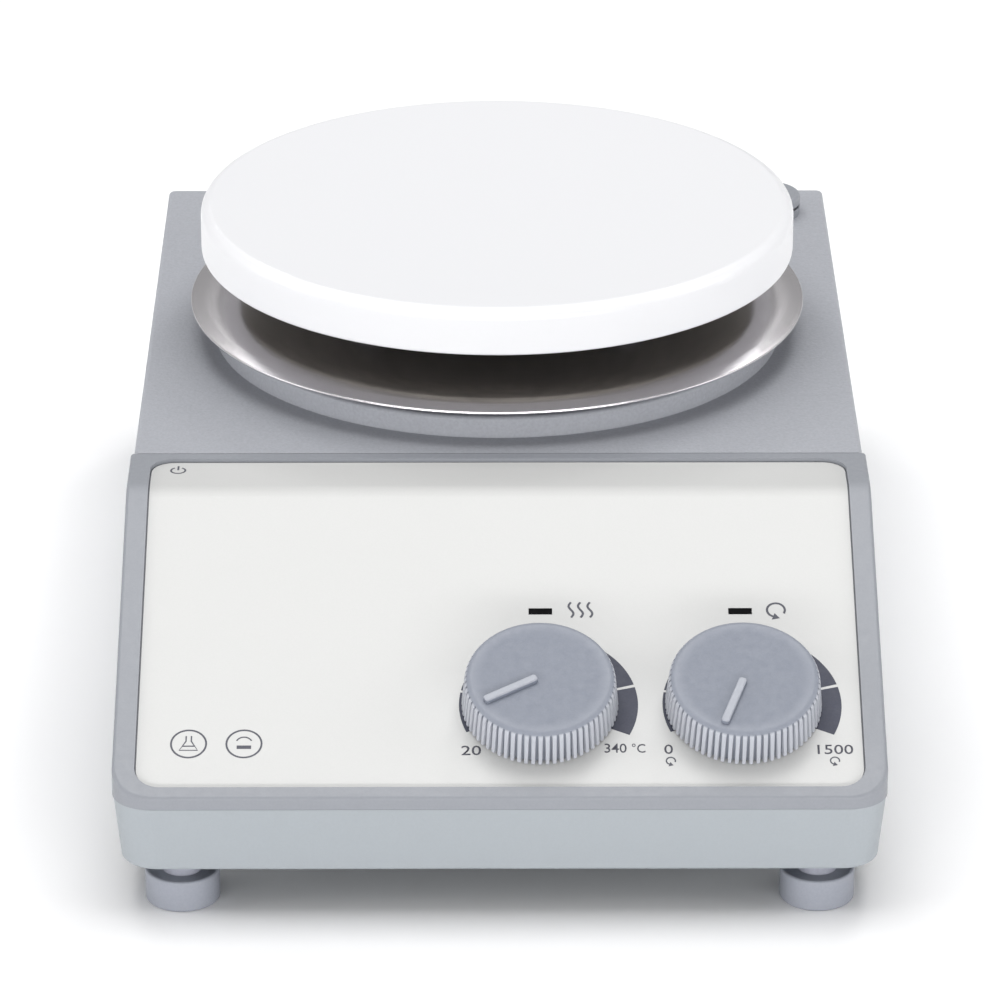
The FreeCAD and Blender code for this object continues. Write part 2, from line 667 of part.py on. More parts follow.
# ------------------------------------------------------------------ drive
Y0 = D("plate_y")
FLOOR = D("base_z") + D("tray_floor")
pl = cbox("bracket_plate", 84.0, 64.0, 2.0, 0, Y0, D("motor_low") - 2)
legs = [cyl("bracket_leg_%d" % i, 4.0, D("motor_low") - 1 - FLOOR,
            (val(36.0 * sx), Y0 + 26.0 * sy, FLOOR))
        for i, (sx, sy) in enumerate(((-1, -1), (1, -1), (-1, 1), (1, 1)))]
solid = fuse("bracket_solid", [pl] + legs)
tools = [cyl("bracket_hole", 9.0, 8, (0, Y0, D("motor_low") - 5))]
tools += [cyl("bracket_bore_%d" % i, 1.6, D("motor_low") + 2 - FLOOR,
              (val(36.0 * sx), Y0 + 26.0 * sy, FLOOR - 1))
          for i, (sx, sy) in enumerate(((-1, -1), (1, -1), (-1, 1), (1, 1)))]
keep(cut("bracket_cut", solid, fuse("bracket_tools", tools)), "motor_bracket")
scr = []
for i, (sx, sy) in enumerate(((-1, -1), (1, -1), (-1, 1), (1, 1))):
    at = (val(36.0 * sx), Y0 + 26.0 * sy)
    scr.append(fuse("bracket_screw_%d" % i, [
        cyl("bracket_screw_head_%d" % i, 3.0, 2.0, (at[0], at[1], D("motor_low"))),
        cyl("bracket_screw_shank_%d" % i, 1.5, 6.0,
            (at[0], at[1], D("motor_low") - 5.5))]))
keep(group("bracket_screw_set", scr), "bracket_screws")

span = D("motor_top") - D("motor_low")
shell = cyl("motor_shell", D("motor_r"), span, (0, Y0, D("motor_low")))
tools = [cyl("motor_bore", 4.0, span + 4, (0, Y0, D("motor_low") - 2)),
         cyl("motor_seat_low", D("bearing_r"), D("bearing_thk") + 1,
             (0, Y0, D("motor_low") - 1)),
         cyl("motor_seat_top", D("bearing_r"), D("bearing_thk") + 1,
             (0, Y0, D("motor_top") - D("bearing_thk")))]
keep(cut("motor_cut", shell, fuse("motor_tools", tools)), "motor_body")
rings = []
for k, z in (("low", D("motor_low")), ("top", D("motor_top") - D("bearing_thk"))):
    rings.append(cut("bearing_" + k,
                     cyl("bearing_disc_" + k, D("bearing_r") - 0.01, D("bearing_thk"),
                         (0, Y0, z)),
                     cyl("bearing_bore_" + k, D("rotor_r") + D("shaft_clear"), 9,
                         (0, Y0, z - 2))))
keep(group("bearing_pair", rings), "motor_bearings")
keep(cyl("rotor_rod", D("rotor_r"), D("rotor_top") - D("rotor_low"),
         (0, Y0, D("rotor_low"))), "motor_shaft")
disc = fuse("carrier_solid", [
    cyl("carrier_disc", D("carrier_r"), 3.0, (0, Y0, D("carrier_low"))),
    cyl("carrier_hub", 7.0, 8.0, (0, Y0, D("carrier_low") - 8 + 0.0)),
    cyl("carrier_cup_l", 7.6, 8.0, (-D("magnet_x"), Y0, D("carrier_low"))),
    cyl("carrier_cup_r", 7.6, 8.0, (D("magnet_x"), Y0, D("carrier_low")))])
tools = [cyl("carrier_bore", D("rotor_r"), 11.0 + 1, (0, Y0, D("carrier_low") - 9)),
         cyl("carrier_pit_l", D("magnet_r"), 9, (-D("magnet_x"), Y0, D("carrier_low") + 2)),
         cyl("carrier_pit_r", D("magnet_r"), 9, (D("magnet_x"), Y0, D("carrier_low") + 2))]
keep(cut("carrier_cut", disc, fuse("carrier_cuts", tools)), "magnet_carrier")
keep(group("magnet_pair", [
    cyl("magnet_l", D("magnet_r") - 0.02, 7.0, (-D("magnet_x"), Y0, D("carrier_low") + 2)),
    cyl("magnet_r", D("magnet_r") - 0.02, 7.0, (D("magnet_x"), Y0, D("carrier_low") + 2))]),
    "drive_magnets")

# ----------------------------------------------------------------- boards
board = cbox("control_blank", 120.0, 40.0, 1.6, 0, -90.0, 17.0)
chips = [cbox("control_part_%d" % i, lx, ly, h_, x, y, 18.0)
         for i, (x, y, lx, ly, h_) in enumerate((
             (-40.0, -92.0, 10.0, 7.0, 2.2), (-20.0, -84.0, 14.0, 10.0, 2.6),
             (-52.0, -78.0, 8.0, 6.0, 5.0), (30.0, -76.0, 12.0, 6.0, 3.0)))]
keep(fuse("control_board_solid", [board] + chips), "control_board")
board = cbox("power_blank", 120.0, 44.0, 1.6, 0, -30.0, 17.0)
chips = [cbox("transformer", 30.0, 26.0, 24.6, -30.0, -30.0, 18.0),
         cbox("heat_sink", 6.0, 36.0, 22.6, 40.0, -30.0, 18.0),
         cyl("big_capacitor", 7.0, 20.6, (val(10.0), val(-38.0), val(18.0))),
         cyl("small_capacitor", 4.0, 12.6, (val(10.0), val(-20.0), val(18.0)))]
keep(fuse("power_board_solid", [board] + chips), "power_board")
posts = [cyl("board_post_%d" % i, 3.0, val(17.0) - FLOOR, (val(x), val(y), FLOOR))
         for i, (x, y) in enumerate((
             (-55.0, -105.0), (55.0, -105.0), (-55.0, -75.0), (55.0, -75.0),
             (-55.0, -47.0), (55.0, -47.0), (-55.0, -13.0), (55.0, -13.0)))]
keep(group("board_posts", posts), "board_standoffs")

# ------------------------------------------------------------ mains entry
IX, IZ, RY = D("inlet_x"), D("inlet_z"), D("rear_y")
flange = box("inlet_flange", 32.0, 2.5, 31.0, (IX - 16.0, RY, IZ - 15.5))
inner_body = box("inlet_can", 27.6, 26.0, 27.0, (IX - 13.8, RY - 25.0, IZ - 13.3))
tools = [box("inlet_mouth", 24.5, 17.0, 16.4, (IX - 12.25, RY + 2.5 - 16.0, IZ - 3.7)),
         box("drawer_mouth", 20.4, 27.0, 6.4, (IX - 10.2, RY + 2.5 - 25.5, IZ - 12.7))]
keep(cut("inlet_cut", fuse("inlet_solid", [flange, inner_body]),
         fuse("inlet_tools", tools)), "mains_inlet")
pins = []
for i, (dx, dz) in enumerate(((-7.0, 2.2), (7.0, 2.2), (0.0, 7.2))):
    pins.append(box("inlet_pin_%d" % i, 2.0, 10.6, 4.0,
                    (IX + dx - 1.0, RY - 13.5, IZ + dz - 2.0)))
keep(group("inlet_pin_set", pins), "inlet_pins")
face = box("drawer_face", 20.0, 2.2, 6.0, (IX - 10.0, RY + 0.6, IZ - 12.5))
grip = box("drawer_grip", 10.0, 2.2, 1.6, (IX - 5.0, RY + 2.8, IZ - 10.3))
tray0 = box("drawer_tray", 19.6, 22.0, 5.6, (IX - 9.8, RY - 21.2, IZ - 12.3))
tools = [cyl("drawer_bed_l", 2.7, 20.6, (IX - 4.6, RY + 0.0, IZ - 9.0),
             (Vector(1, 0, 0), val(90.0))),
         cyl("drawer_bed_r", 2.7, 20.6, (IX + 4.6, RY + 0.0, IZ - 9.0),
             (Vector(1, 0, 0), val(90.0))),
         box("drawer_open_l", 5.4, 20.6, 4.0, (IX - 7.3, RY - 20.6, IZ - 9.0)),
         box("drawer_open_r", 5.4, 20.6, 4.0, (IX + 1.9, RY - 20.6, IZ - 9.0))]
keep(cut("drawer_cut", fuse("drawer_solid", [face, grip, tray0]),
         fuse("drawer_tools", tools)), "fuse_drawer")
keep(group("fuse_pair", [
    cyl("fuse_l", 2.6, 20.0, (IX - 4.6, RY - 0.3, IZ - 9.0), (Vector(1, 0, 0), val(90.0))),
    cyl("fuse_r", 2.6, 20.0, (IX + 4.6, RY - 0.3, IZ - 9.0), (Vector(1, 0, 0), val(90.0)))]),
    "fuses")
SX = D("switch_x")
frame0 = box("switch_flange", 15.0, 2.0, 21.0, (SX - 7.5, RY, IZ - 10.5))
can = box("switch_can", 12.8, 15.0, 18.8, (SX - 6.4, RY - 14.5, IZ - 9.4))
PY = RY - 1.8
tools = [box("switch_mouth", 10.8, 12.0, 16.2, (SX - 5.4, RY - 8.0, IZ - 8.1)),
         cyl("switch_pin_hole", D("rocker_pin_r"), 20, (SX - 10.0, PY, IZ),
             (Vector(0, 1, 0), val(90.0)))]
keep(cut("switch_cut", fuse("switch_solid", [frame0, can]),
         fuse("switch_tools", tools)), "switch_frame")
keep(cyl("rocker_rod", D("rocker_pin_r"), 12.4, (SX - 6.2, PY, IZ),
         (Vector(0, 1, 0), val(90.0))), "rocker_pivot")
b = new_body("rocker_body")
sk = sketch(b, "YZ_Plane", "rocker_side",
            [(4.6, 7.0), (3.5, 0.0), (4.6, -7.0), (1.0, -7.2), (-3.0, -4.5),
             (-3.0, 4.5), (1.0, 7.2)])
pad(b, "rocker_pad", sk, 10.2, mid=True)
sk = sketch(b, "YZ_Plane", "rocker_bore",
            [(1.05 * round(math.cos(math.radians(15 + 30 * k)), 6) / 0.965926,
              1.05 * round(math.sin(math.radians(15 + 30 * k)), 6) / 0.965926)
             for k in range(12)])
pocket(b, "rocker_bore_pocket", sk, 14.0, mid=True)
place(b, (SX, PY, IZ), (Vector(1, 0, 0), D("rocker_deg")))
keep(b, "power_rocker")

# ------------------------------------------------------------- rod socket
RX, RYY = D("rod_x"), D("rod_y")
barrel = cyl("socket_barrel", 6.9, 26.0, (RX, RYY, D("top_z") - 26.0))
collar = cyl("socket_collar", D("rod_cap_r"), 2.0, (RX, RYY, D("top_z")))
skirt = cyl("socket_flange", 9.5, 2.0, (RX, RYY, D("top_z") - D("wall") - 2.0))
tools = [cyl("socket_bore", D("rod_bore_r"), 30, (RX, RYY, D("top_z") - 27.0)),
         cyl("socket_wide", D("rod_shank_r") + 0.08, 14, (RX, RYY, D("top_z") - 10.0))]
keep(cut("socket_cut", fuse("socket_solid", [barrel, collar, skirt]),
         fuse("socket_tools", tools)), "rod_socket")
cap = cyl("plug_cap", D("rod_cap_r"), 2.4, (RX, RYY, D("top_z") + 2.7))
neck = cyl("plug_neck", D("rod_neck_r"), 0.8, (RX, RYY, D("top_z") + 2.05))
shank = cyl("plug_shank", D("rod_shank_r"), 11.0, (RX, RYY, D("top_z") - 8.5))
capf = doc.addObject("Part::Fillet", "plug_cap_soft")
capf.Base = cap
doc.recompute()
top_edges = [i for i, e in enumerate(cap.Shape.Edges, start=1)
             if len(e.Vertexes) == 1 and e.Vertexes[0].Point.z > DIMS["top_z"] + 5.0]
capf.Edges = [(i, 0.9, 0.9) for i in top_edges]
keep(fuse("plug_solid", [capf, neck, shank]), "rod_plug")

# ------------------------------------------------------------------- feet
feet, collars, screws = [], [], []
for i, (sx, y) in enumerate(feet_at):
    at = (D("foot_x") * sx, D(y))
    blank = cyl("foot_blank_%d" % i, D("foot_r"), D("foot_top"), (at[0], at[1], 0))
    soft = doc.addObject("Part::Fillet", "foot_soft_%d" % i)
    soft.Base = blank
    doc.recompute()
    soft.Edges = [(k, 0.5, 0.5) for k, e in enumerate(blank.Shape.Edges, start=1)
                  if len(e.Vertexes) == 1]
    tools = fuse("foot_tools_%d" % i, [
        cyl("foot_cup_%d" % i, D("foot_in_r"), D("foot_cup") + 1,
            (at[0], at[1], D("foot_top") - D("foot_cup"))),
        cyl("foot_sink_%d" % i, 4.0, 3.0, (at[0], at[1], -1)),
        cyl("foot_bore_%d" % i, 2.05, 12.0, (at[0], at[1], -1))])
    feet.append(cut("foot_%d" % i, soft, tools))
    rise = D("base_z") - (D("foot_top") - D("foot_cup"))
    collars.append(cut("foot_collar_%d" % i,
                       cyl("foot_collar_blank_%d" % i, D("collar_r"), rise,
                           (at[0], at[1], D("foot_top") - D("foot_cup"))),
                       cyl("foot_collar_bore_%d" % i, 2.05, 12,
                           (at[0], at[1], 2.0))))
    screws.append(fuse("foot_screw_%d" % i, [
        cyl("foot_screw_head_%d" % i, 3.4, 1.6, (at[0], at[1], 0.4)),
        cyl("foot_screw_shank_%d" % i, 2.0, 12.5, (at[0], at[1], 1.5))]))
keep(group("feet_group", feet), "feet")
keep(group("collar_group", collars), "foot_collars")
keep(group("foot_screw_group", screws), "foot_screws")

# ------------------------------------------------------- check and export
doc.recompute()
bad = [o.Label for o in doc.Objects if "Invalid" in o.State or "Error" in o.State]
if bad:
    raise RuntimeError("failed objects: %s" % bad)
os.makedirs("parts", exist_ok=True)
for old in os.listdir("parts"):
    if old.endswith(".step") and old[:-5] not in NODES:
        os.remove(os.path.join("parts", old))
total = Part.makeCompound([o.Shape for o in NODES.values()])
for node, obj in sorted(NODES.items()):
    shp = obj.Shape
    if shp.isNull() or not shp.isValid() or not shp.Solids:
        raise RuntimeError("bad shape: " + node)
    bb = shp.BoundBox
    print("%-20s solids %2d  vol %9.1f  x %7.2f..%7.2f y %8.2f..%8.2f z %6.2f..%6.2f" % (
        node, len(shp.Solids), shp.Volume, bb.XMin, bb.XMax, bb.YMin, bb.YMax,
        bb.ZMin, bb.ZMax))
for node, obj in NODES.items():
    obj.Shape.exportStep(os.path.join("parts", node + ".step"))
bb = total.BoundBox
print("nodes", len(NODES), "box", bb.XMin, bb.XMax, bb.YMin, bb.YMax, bb.ZMin, bb.ZMax)
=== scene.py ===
import json
import math
import bpy
import bmesh
from mathutils import Matrix, Vector


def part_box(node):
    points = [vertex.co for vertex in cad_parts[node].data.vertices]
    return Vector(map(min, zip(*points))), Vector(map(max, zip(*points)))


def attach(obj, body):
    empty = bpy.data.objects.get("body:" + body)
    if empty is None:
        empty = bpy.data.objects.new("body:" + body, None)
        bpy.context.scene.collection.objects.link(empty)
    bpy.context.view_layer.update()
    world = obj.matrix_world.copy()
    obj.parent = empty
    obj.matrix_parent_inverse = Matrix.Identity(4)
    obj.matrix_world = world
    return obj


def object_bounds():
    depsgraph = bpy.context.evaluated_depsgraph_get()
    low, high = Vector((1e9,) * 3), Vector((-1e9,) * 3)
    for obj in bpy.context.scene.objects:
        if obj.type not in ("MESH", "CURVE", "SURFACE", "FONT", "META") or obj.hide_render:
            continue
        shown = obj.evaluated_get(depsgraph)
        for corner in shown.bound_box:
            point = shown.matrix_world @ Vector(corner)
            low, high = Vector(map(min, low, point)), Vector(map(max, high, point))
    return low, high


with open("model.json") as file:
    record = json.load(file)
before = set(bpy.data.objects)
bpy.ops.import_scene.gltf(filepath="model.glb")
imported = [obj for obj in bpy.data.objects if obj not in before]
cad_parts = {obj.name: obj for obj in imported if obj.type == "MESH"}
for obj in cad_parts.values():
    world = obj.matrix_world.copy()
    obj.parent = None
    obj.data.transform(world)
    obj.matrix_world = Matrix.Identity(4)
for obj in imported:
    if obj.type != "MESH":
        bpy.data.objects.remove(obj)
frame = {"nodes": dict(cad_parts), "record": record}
CAD_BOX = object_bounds()
rec = frame["record"]
nodes = frame["nodes"]
scene = bpy.context.scene

# ------------------------------------------------------------- materials


def make_mat(name, color, rough, metallic=0.0, grain=900.0, grain_amt=0.06,
             bump=0.15, bump_scale=None, blotch=18.0, blotch_amt=0.04,
             rough_var=0.08, coat=0.0, stretch=None, kind="noise", spec=0.5,
             transmission=0.0, ior=1.45):
    """A shader whose colour, roughness and relief all come from noise fields."""
    m = bpy.data.materials.new(name)
    m.use_nodes = True
    nt = m.node_tree
    nt.nodes.clear()
    N = nt.nodes.new
    out = N("ShaderNodeOutputMaterial")
    bs = N("ShaderNodeBsdfPrincipled")
    nt.links.new(bs.outputs[0], out.inputs[0])
    tc = N("ShaderNodeTexCoord")
    mp = N("ShaderNodeMapping")
    if stretch:
        mp.inputs["Scale"].default_value = stretch
    nt.links.new(tc.outputs["Object"], mp.inputs[0])

    def noise(scale, detail=4.0, rough_=0.55):
        n = N("ShaderNodeTexNoise")
        n.inputs["Scale"].default_value = scale
        n.inputs["Detail"].default_value = detail
        n.inputs["Roughness"].default_value = rough_
        nt.links.new(mp.outputs[0], n.inputs["Vector"])
        return n

    fine, wide = noise(grain), noise(blotch, 2.0)
    tone = N("ShaderNodeMixRGB")
    tone.blend_type = "MIX"
    lo = tuple(max(0.0, c * (1 - blotch_amt)) for c in color)
    hi = tuple(min(1.0, c * (1 + blotch_amt)) for c in color)
    tone.inputs[1].default_value = lo + (1,)
    tone.inputs[2].default_value = hi + (1,)
    nt.links.new(wide.outputs["Fac"], tone.inputs[0])
    speck = N("ShaderNodeMixRGB")
    speck.blend_type = "MULTIPLY"
    ramp = N("ShaderNodeValToRGB")
    ramp.color_ramp.elements[0].position = 0.32
    ramp.color_ramp.elements[1].position = 0.68
    ramp.color_ramp.elements[0].color = (1 - grain_amt * 2,) * 3 + (1,)
    ramp.color_ramp.elements[1].color = (1, 1, 1, 1)
    nt.links.new(fine.outputs["Fac"], ramp.inputs[0])
    speck.inputs[0].default_value = 1.0
    nt.links.new(tone.outputs[0], speck.inputs[1])
    nt.links.new(ramp.outputs[0], speck.inputs[2])
    nt.links.new(speck.outputs[0], bs.inputs["Base Color"])
    mr = N("ShaderNodeMapRange")
    mr.inputs["From Min"].default_value = 0.3
    mr.inputs["From Max"].default_value = 0.7
    mr.inputs["To Min"].default_value = max(0.02, rough - rough_var)
    mr.inputs["To Max"].default_value = min(1.0, rough + rough_var)
    nt.links.new(noise(grain * 0.35, 3.0).outputs["Fac"], mr.inputs["Value"])
    nt.links.new(mr.outputs[0], bs.inputs["Roughness"])
    bs.inputs["Metallic"].default_value = metallic
    bs.inputs["Specular IOR Level"].default_value = spec
    bs.inputs["IOR"].default_value = ior
    if coat:
        bs.inputs["Coat Weight"].default_value = coat
        bs.inputs["Coat Roughness"].default_value = 0.12
    if transmission:
        bs.inputs["Transmission Weight"].default_value = transmission
    bp = N("ShaderNodeBump")
    bp.inputs["Strength"].default_value = bump
    bp.inputs["Distance"].default_value = 0.0003
    src = noise(bump_scale or grain, 3.0)
    if kind == "voronoi":
        src = N("ShaderNodeTexVoronoi")
        src.inputs["Scale"].default_value = bump_scale or grain
        nt.links.new(mp.outputs[0], src.inputs["Vector"])
    nt.links.new(src.outputs[0], bp.inputs["Height"])
    nt.links.new(bp.outputs[0], bs.inputs["Normal"])
    return m


def spun_steel(name, centre, color=(0.60, 0.565, 0.54), rough=0.24):
    """Stainless turned on a lathe: fine rings round the dish's own axis."""
    m = bpy.data.materials.new(name)
    m.use_nodes = True
    nt = m.node_tree
    nt.nodes.clear()
    N = nt.nodes.new
    out = N("ShaderNodeOutputMaterial")
    bs = N("ShaderNodeBsdfPrincipled")
    nt.links.new(bs.outputs[0], out.inputs[0])
    tc = N("ShaderNodeTexCoord")
    mp = N("ShaderNodeMapping")
    mp.inputs["Location"].default_value = (-centre[0], -centre[1], 0)
    nt.links.new(tc.outputs["Object"], mp.inputs[0])
    sep = N("ShaderNodeSeparateXYZ")
    nt.links.new(mp.outputs[0], sep.inputs[0])
    comb = N("ShaderNodeCombineXYZ")
    nt.links.new(sep.outputs[0], comb.inputs[0])
    nt.links.new(sep.outputs[1], comb.inputs[1])
    ln = N("ShaderNodeVectorMath")
    ln.operation = "LENGTH"
    nt.links.new(comb.outputs[0], ln.inputs[0])
    ang = N("ShaderNodeMath")
    ang.operation = "ARCTAN2"
    nt.links.new(sep.outputs[1], ang.inputs[0])
    nt.links.new(sep.outputs[0], ang.inputs[1])
    polar = N("ShaderNodeCombineXYZ")
    sc = N("ShaderNodeMath")
    sc.operation = "MULTIPLY"
    sc.inputs[1].default_value = 3200.0
    nt.links.new(ln.outputs["Value"], sc.inputs[0])
    nt.links.new(sc.outputs[0], polar.inputs[0])
    nt.links.new(ang.outputs[0], polar.inputs[1])
    rings = N("ShaderNodeTexNoise")
    rings.inputs["Scale"].default_value = 1.0
    rings.inputs["Detail"].default_value = 5.0
    nt.links.new(polar.outputs[0], rings.inputs["Vector"])
    mix = N("ShaderNodeMixRGB")
    mix.inputs[1].default_value = tuple(c * 0.9 for c in color) + (1,)
    mix.inputs[2].default_value = tuple(min(1, c * 1.08) for c in color) + (1,)
    nt.links.new(rings.outputs["Fac"], mix.inputs[0])
    nt.links.new(mix.outputs[0], bs.inputs["Base Color"])
    mr = N("ShaderNodeMapRange")
    mr.inputs["To Min"].default_value = rough - 0.05
    mr.inputs["To Max"].default_value = rough + 0.08
    nt.links.new(rings.outputs["Fac"], mr.inputs["Value"])
    nt.links.new(mr.outputs[0], bs.inputs["Roughness"])
    bs.inputs["Metallic"].default_value = 1.0
    bs.inputs["Anisotropic"].default_value = 0.70
    tg = N("ShaderNodeTangent")
    tg.direction_type = "RADIAL"
    tg.axis = "Z"
    nt.links.new(tg.outputs[0], bs.inputs["Tangent"])
    bp = N("ShaderNodeBump")
    bp.inputs["Strength"].default_value = 0.10
    bp.inputs["Distance"].default_value = 0.0001
    nt.links.new(rings.outputs["Fac"], bp.inputs["Height"])
    nt.links.new(bp.outputs[0], bs.inputs["Normal"])
    return m


def dial_plastic_painted_highlights(name, joint, body=(0.187, 0.206, 0.252), painted_highlight=(0.46, 0.475, 0.52)):
    """Satin plastic with painted highlights: a lighter colour on flute tips, face rim and pointer
    top, standing in for light catching them.
    """
    j = [q for q in rec["behaviour"]["joints"] if q["name"] == joint][0]
    pivot, axis = j["pos_m"], Vector(j["axis"]).normalized()
    m = make_mat(name, body, 0.45, grain=2000, grain_amt=0.03, bump=0.06,
                 bump_scale=2200, blotch=30, blotch_amt=0.015)
    nt = m.node_tree
    N = nt.nodes.new
    bs = [n for n in nt.nodes if n.type == "BSDF_PRINCIPLED"][0]
    base = bs.inputs["Base Color"].links[0].from_socket
    tc = [n for n in nt.nodes if n.type == "TEX_COORD"][0]

    def vec(op, *links):
        n = N("ShaderNodeVectorMath")
        n.operation = op
        for i, v in enumerate(links):
            if isinstance(v, (tuple, list, Vector)):
                n.inputs[i].default_value = tuple(v)
            else:
                nt.links.new(v, n.inputs[i])
        return n

    rel = vec("SUBTRACT", tc.outputs["Object"], tuple(pivot))
    high = vec("DOT_PRODUCT", rel.outputs["Vector"], tuple(axis))
    along = vec("SCALE", tuple(axis))
    nt.links.new(high.outputs["Value"], along.inputs["Scale"])
    out = vec("SUBTRACT", rel.outputs["Vector"], along.outputs["Vector"])
    rad = vec("LENGTH", out.outputs["Vector"])

    def ramp(src, a, b, top=1.0):
        n = N("ShaderNodeMapRange")
        n.inputs["To Max"].default_value = top
        n.interpolation_type = "SMOOTHSTEP"
        n.inputs["From Min"].default_value = a
        n.inputs["From Max"].default_value = b
        nt.links.new(src, n.inputs["Value"])
        return n.outputs["Result"]

    # painted highlights: flute tips, the face's outer rim and the pointer's top are mixed towards
    # a lighter colour where light would catch them
    tip = ramp(rad.outputs["Value"], 0.01518, 0.01565)
    bar = ramp(high.outputs["Value"], 0.00905, 0.00945, 0.62)
    rim = ramp(rad.outputs["Value"], 0.01180, 0.01500, 0.20)
    both = N("ShaderNodeMath")
    both.operation = "MAXIMUM"
    nt.links.new(tip, both.inputs[0])
    nt.links.new(bar, both.inputs[1])
    painted_highlight_mask = N("ShaderNodeMath")
    painted_highlight_mask.operation = "MAXIMUM"
    nt.links.new(both.outputs[0], painted_highlight_mask.inputs[0])
    nt.links.new(rim, painted_highlight_mask.inputs[1])
    mix = N("ShaderNodeMixRGB")
    mix.inputs[2].default_value = tuple(painted_highlight) + (1,)
    nt.links.new(painted_highlight_mask.outputs[0], mix.inputs[0])
    nt.links.new(base, mix.inputs[1])
    nt.links.new(mix.outputs[0], bs.inputs["Base Color"])
    return m


plate_c = ((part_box("top_plate")[0][0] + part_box("top_plate")[1][0]) / 2,
           (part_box("top_plate")[0][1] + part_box("top_plate")[1][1]) / 2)

PAINT = make_mat("paint_grey", (0.376, 0.387, 0.421), 0.52, grain=1500, grain_amt=0.06,
                 bump=0.35, bump_scale=1100, blotch=9, blotch_amt=0.02, kind="noise")
PAINT_BASE = make_mat("paint_base", (0.337, 0.364, 0.388), 0.50, grain=1900,
                      grain_amt=0.015, bump=0.07, bump_scale=1500, blotch=9,
                      blotch_amt=0.015)
PAINT_SMOOTH = make_mat("paint_trim", (0.267, 0.279, 0.306), 0.44, grain=1900,
                        grain_amt=0.02, bump=0.07, bump_scale=1500, blotch=12,
                        blotch_amt=0.015)
FILM = make_mat("film_satin", (0.552, 0.553, 0.545), 0.34, grain=2600, grain_amt=0.012,
                bump=0.03, bump_scale=2600, blotch=7, blotch_amt=0.010, rough_var=0.04)
KNOB = make_mat("knob_satin", (0.240, 0.256, 0.305), 0.45, grain=2000, grain_amt=0.04,
                bump=0.10, bump_scale=2200, blotch=30, blotch_amt=0.02)
CERAMIC = make_mat("ceramic_white", (0.754, 0.756, 0.774), 0.34, grain=2600,
                   grain_amt=0.004, bump=0.004, bump_scale=900, blotch=9,
                   blotch_amt=0.006, rough_var=0.02, coat=0.12)
STEEL_DISH = spun_steel("spun_stainless", plate_c, (0.790, 0.765, 0.785), 0.22)
RUBBER = make_mat("foot_grey", (0.289, 0.304, 0.348), 0.48, grain=1800,
                  grain_amt=0.03, bump=0.06, bump_scale=1800, blotch=30,
                  blotch_amt=0.015)
COLLAR = make_mat("collar_light", (0.372, 0.381, 0.443), 0.55, grain=1500,
                  grain_amt=0.05, bump=0.2, bump_scale=1300)
BLACK = make_mat("inlet_black", (0.030, 0.030, 0.033), 0.42, grain=1500,
                 grain_amt=0.15, bump=0.18, bump_scale=1500, rough_var=0.1)
WINDOW = make_mat("window_black", (0.005, 0.005, 0.006), 0.5, grain=900,
                  grain_amt=0.2, bump=0.02, spec=0.03)
STEEL = make_mat("plain_steel", (0.56, 0.56, 0.57), 0.34, metallic=1.0, grain=700,
                 grain_amt=0.10, bump=0.12, stretch=(1, 1, 6))
BRASS = make_mat("plain_brass", (0.70, 0.52, 0.24), 0.30, metallic=1.0, grain=800,
                 grain_amt=0.10, bump=0.10)
ALU = make_mat("machined_alu", (0.70, 0.70, 0.72), 0.30, metallic=1.0, grain=900,
               grain_amt=0.08, bump=0.12, stretch=(1, 1, 8))
FIBRE = make_mat("mineral_fibre", (0.30, 0.285, 0.25), 0.92, grain=500, grain_amt=0.22,
                 bump=0.8, bump_scale=650, blotch=60, blotch_amt=0.15)
BOARD = make_mat("board_green", (0.03, 0.16, 0.07), 0.40, grain=450, grain_amt=0.22,
                 bump=0.2, bump_scale=500, kind="voronoi")
NICKEL = make_mat("magnet_nickel", (0.62, 0.61, 0.59), 0.18, metallic=1.0, grain=600,
                  grain_amt=0.06, bump=0.06)
GLASS = make_mat("fuse_glass", (0.80, 0.84, 0.84), 0.08, grain=500, grain_amt=0.05,
                 bump=0.02, transmission=0.8)
CARRIER = make_mat("inner_plastic", (0.06, 0.06, 0.065), 0.6, grain=1100,
                   grain_amt=0.12, bump=0.25)
INK = make_mat("ink_dark", (0.062, 0.066, 0.092), 0.5, spec=0.25, grain=2400, grain_amt=0.06,
               bump=0.03, blotch=80, blotch_amt=0.05)
INK_SOFT = make_mat("ink_soft", (0.095, 0.097, 0.118), 0.5, spec=0.25, grain=2400, grain_amt=0.06,
                    bump=0.03, blotch=80, blotch_amt=0.05)

NODE_MAT = {
    "base_tray": PAINT_BASE, "upper_housing": PAINT, "front_bezel": PAINT_SMOOTH,
    "housing_boss": PAINT, "rod_socket": PAINT_SMOOTH, "rod_plug": PAINT_SMOOTH,
    "panel_film": FILM, "heat_led_window": WINDOW, "stir_led_window": WINDOW,
    "heat_knob": KNOB, "stir_knob": KNOB, "panel_carrier": CARRIER,
    "top_plate": CERAMIC, "heat_shield_dish": STEEL_DISH, "insulation_disc": FIBRE,
    "feet": RUBBER, "foot_collars": COLLAR, "mains_inlet": BLACK,
    "fuse_drawer": BLACK, "switch_frame": BLACK, "power_rocker": BLACK,
    "inlet_pins": BRASS, "board_standoffs": BRASS, "control_board": BOARD,
    "power_board": BOARD, "drive_magnets": NICKEL, "magnet_carrier": ALU,
    "fuses": GLASS,
}
# both knobs get the satin plastic with painted highlights on flute tips, face rim and pointer
for nm in ("heat", "stir"):
    NODE_MAT[nm + "_knob"] = dial_plastic_painted_highlights(nm + "_dial_satin_painted_highlight", nm + "_turn")
NODE_MAT["plate_standoffs"] = CARRIER
for name, obj in nodes.items():
    mat = NODE_MAT.get(name, STEEL)
    if not obj.data.materials:
        obj.data.materials.append(mat)
    for sl in obj.material_slots:
        sl.link = "OBJECT"
        sl.material = mat

